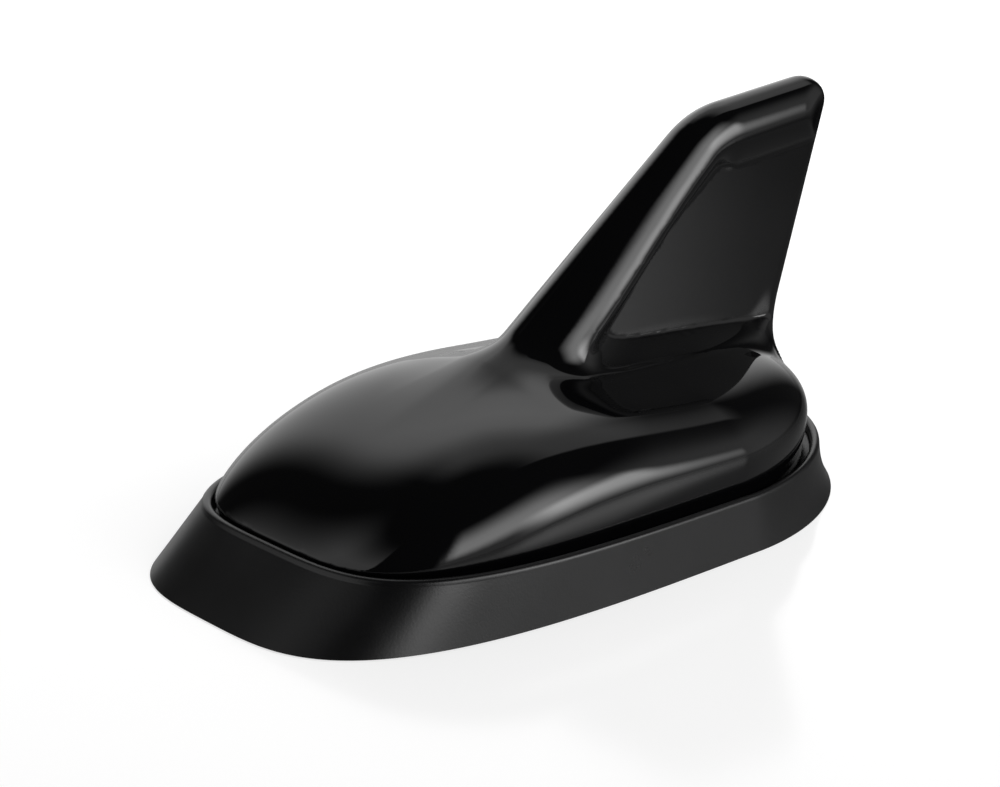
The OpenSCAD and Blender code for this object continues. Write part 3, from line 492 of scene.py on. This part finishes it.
# Camera at the photo's angle: aim, turn and distance come from the outline of the skirt's foot
cameraView = {"azimuth": -41.969, "elevation": 18.718, "distance": 434.0, "side": -3.187, "lift": 22.283,
              "focalPixels": 2433.18, "imageWidth": 1000}


def makeCamera():
    c = cameraView
    a, e = radians(c["azimuth"]), radians(c["elevation"])
    back = Vector((sin(a) * cos(e), -cos(a) * cos(e), sin(e)))
    right = Vector((cos(a), sin(a), 0))
    up = back.cross(right)
    data = bpy.data.cameras.new("photoCamera")
    data.sensor_width = 36
    data.lens = c["focalPixels"] * data.sensor_width / c["imageWidth"]
    camera = bpy.data.objects.new("photoCamera", data)
    place = back * c["distance"] + right * c["side"] + up * c["lift"] + Vector((frameShift, 0, 0))
    camera.location = place * mm
    camera.rotation_euler = (radians(90 - c["elevation"]), 0, a)
    scene.collection.objects.link(camera)
    scene.camera = camera


# The studio. Azimuth is turned from the tail towards the left side; strength 1 is white.
studio = {
    "panels": [
        # large soft box on the right with a lower half nearer the tail, and the low glow round it
        {"azimuth": -82, "left": (-30, -20), "right": (40, 12), "bottom": (10, 30), "top": (62, 36),
         "strength": 3.3},
        {"azimuth": -58, "left": (-22, -6), "right": (17, 10), "bottom": (0, 20), "top": (36, 24),
         "strength": 4.6},
        {"azimuth": -82, "left": (-34, -24), "right": (95, 45), "bottom": (-30, 5), "top": (50, 25),
         "strength": 0.45},
        # the white backdrop, the ceiling, and a screen ahead on the left
        {"azimuth": 50, "left": (-30, -12), "right": (45, 22), "bottom": (-20, 0), "top": (62, 36),
         "strength": 0.9, "backdrop": True},
        {"azimuth": 25, "left": (-26, -22), "right": (62, 35), "bottom": (35, 48), "top": (75, 60),
         "strength": 0.5},
        {"azimuth": 150, "left": (-45, -10), "right": (35, 32), "bottom": (-5, 12), "top": (66, 40),
         "strength": 0.75},
        {"azimuth": 0, "left": (-181, -180), "right": (181, 180), "bottom": (-91, -90), "top": (91, 90),
         "strength": 0.02},
    ],
    # how quickly the white fades in the gloss at the backdrop's edge
    "backdropEdge": 3.0,
    # the table's lengths are in metres; its colour is painted light, brighter towards the nose and fading to
    # dark from near to far
    "floor": {"size": 3.0, "drop": 0.0002, "near": 0.20, "far": 0.30, "reach": 0.16, "nosePaintedLight": 0.62,
              "tailPaintedLight": 0.18, "glow": 0.995, "light": 0.68, "roughness": 0.14, "ior": 1.45},
}


def makeFloor():
    # a table whose colour is painted light, brighter towards the nose and fading to dark far off, which the
    # part's gloss shows; the camera sees all of it as white, less the part's own shadow
    f = studio["floor"]
    bm = bmesh.new()
    bmesh.ops.create_grid(bm, x_segments=1, y_segments=1, size=f["size"])
    bmesh.ops.translate(bm, verts=bm.verts, vec=(0, 0, -f["drop"]))
    material, tree = newMaterial("paleFloor")
    place = addNode(tree, "ShaderNodeTexCoord").outputs["Object"]
    far = addNode(tree, "ShaderNodeVectorMath", {"operation": "LENGTH"}, {"Vector": place})
    axes = addNode(tree, "ShaderNodeSeparateXYZ", None, {"Vector": place})
    near = addNode(tree, "ShaderNodeMapRange", {"interpolation_type": "SMOOTHSTEP", "From Min": f["near"],
                                                "From Max": f["far"], "To Min": 1.0, "To Max": 0.0},
                   {"Value": far.outputs["Value"]})
    tone = addNode(tree, "ShaderNodeMapRange", {"From Min": -f["reach"], "From Max": f["reach"],
                                                "To Min": f["nosePaintedLight"], "To Max": f["tailPaintedLight"]},
                   {"Value": axes.outputs["X"]})
    # painted light on the table: brighter towards the nose, dark far off
    paintedLight = addNode(tree, "ShaderNodeMath", {"operation": "MULTIPLY"},
                    {0: near.outputs["Result"], 1: tone.outputs["Result"]})
    path = addNode(tree, "ShaderNodeLightPath")
    seen = addNode(tree, "ShaderNodeMath", {"operation": "MAXIMUM"},
                   {0: path.outputs["Is Camera Ray"], 1: path.outputs["Is Transmission Ray"]})
    lack = addNode(tree, "ShaderNodeMapRange", {"To Min": f["glow"], "To Max": f["glow"] - f["light"]},
                   {"Value": paintedLight.outputs[0]})
    glow = addNode(tree, "ShaderNodeMath", {"operation": "MULTIPLY"},
                   {0: seen.outputs[0], 1: lack.outputs["Result"]})
    shader = addNode(tree, "ShaderNodeBsdfPrincipled",
                     {"Roughness": f["roughness"], "IOR": f["ior"], "Emission Color": toLinear("#ffffff")},
                     {"Base Color": paintedLight.outputs[0], "Emission Strength": glow.outputs[0]})
    addNode(tree, "ShaderNodeOutputMaterial", None, {"Surface": shader.outputs["BSDF"]})
    floor = meshObject("floor", bm, material, smooth=False)


def studioPanel(tree, direction, panel):
    # one panel of the studio, in degrees: its middle, and from where to where each of its sides fades in
    turned = addNode(tree, "ShaderNodeVectorRotate",
                     {"rotation_type": "Z_AXIS", "Angle": -radians(panel["azimuth"])}, {"Vector": direction})
    axes = addNode(tree, "ShaderNodeSeparateXYZ", None, {"Vector": turned.outputs["Vector"]}).outputs
    across = addNode(tree, "ShaderNodeMath", {"operation": "ARCTAN2"}, {0: axes["Y"], 1: axes["X"]})
    rise = addNode(tree, "ShaderNodeMath", {"operation": "ARCSINE"}, {0: axes["Z"]})
    level = None
    for side, source in (("left", across), ("right", across), ("bottom", rise), ("top", rise)):
        start, end = (radians(degrees) for degrees in panel[side])
        fade = addNode(tree, "ShaderNodeMapRange",
                       {"interpolation_type": "SMOOTHSTEP", "From Min": start, "From Max": end},
                       {"Value": source.outputs[0]})
        if level is None:
            level = fade.outputs["Result"]
            continue
        level = addNode(tree, "ShaderNodeMath", {"operation": "MULTIPLY"},
                        {0: level, 1: fade.outputs["Result"]}).outputs[0]
    strength = addNode(tree, "ShaderNodeMath", {"operation": "MULTIPLY"}, {0: level})
    strength.inputs[1].default_value = panel["strength"]
    return strength.outputs[0]


def makeLight():
    # a dark studio with soft panels round the part, placed where the photo's highlights come from
    world = bpy.data.worlds.new("studio")
    scene.world = world
    world.use_nodes = True
    tree = world.node_tree
    tree.nodes.clear()
    direction = addNode(tree, "ShaderNodeTexCoord").outputs["Generated"]
    total = None
    for panel in studio["panels"]:
        light = studioPanel(tree, direction, panel)
        if panel.get("backdrop"):
            backdrop = light
        if total is not None:
            light = addNode(tree, "ShaderNodeMath", {"operation": "ADD"}, {0: total, 1: light}).outputs[0]
        total = light
    path = addNode(tree, "ShaderNodeLightPath")
    seen = addNode(tree, "ShaderNodeMath", {"operation": "MAXIMUM"},
                   {0: path.outputs["Is Camera Ray"], 1: path.outputs["Is Transmission Ray"]})
    # gloss shows the white background where the backdrop stands, and the dark studio elsewhere
    behind = addNode(tree, "ShaderNodeMath", {"operation": "POWER"}, {0: backdrop})
    behind.inputs[1].default_value = studio["backdropEdge"]
    mirrored = addNode(tree, "ShaderNodeMath", {"operation": "MULTIPLY"},
                       {0: path.outputs["Is Glossy Ray"], 1: behind.outputs[0]})
    white = addNode(tree, "ShaderNodeMath", {"operation": "MAXIMUM"},
                    {0: seen.outputs[0], 1: mirrored.outputs[0]})
    level = addNode(tree, "ShaderNodeMix", {"data_type": "FLOAT"}, {0: white.outputs[0], 2: total})
    level.inputs[3].default_value = 1.0
    shader = addNode(tree, "ShaderNodeBackground", {"Color": toLinear("#ffffff")},
                     {"Strength": level.outputs[0]})
    addNode(tree, "ShaderNodeOutputWorld", None, {"Surface": shader.outputs["Background"]})


makeCamera()
makeFloor()
makeLight()
print("camera, floor and", len(studio["panels"]), "panels of light")
materials = {name: finishedMaterial(name, look) for name, look in looks.items()}
for node, look in nodeLooks.items():
    nodes[node].data.materials.clear()
    nodes[node].data.materials.append(materials[look])
print("materials:", len(materials))
cover = makeCoverSkin(materials["glossBlackAbs"])
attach(cover, "root")
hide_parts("cover")
skirt = makeSkirt(materials["satinEpdmRubber"])
markSharp(skirt, skirtForm["sharp"])
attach(skirt, "root")
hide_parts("skirt")

scene.view_settings.view_transform = "Standard"
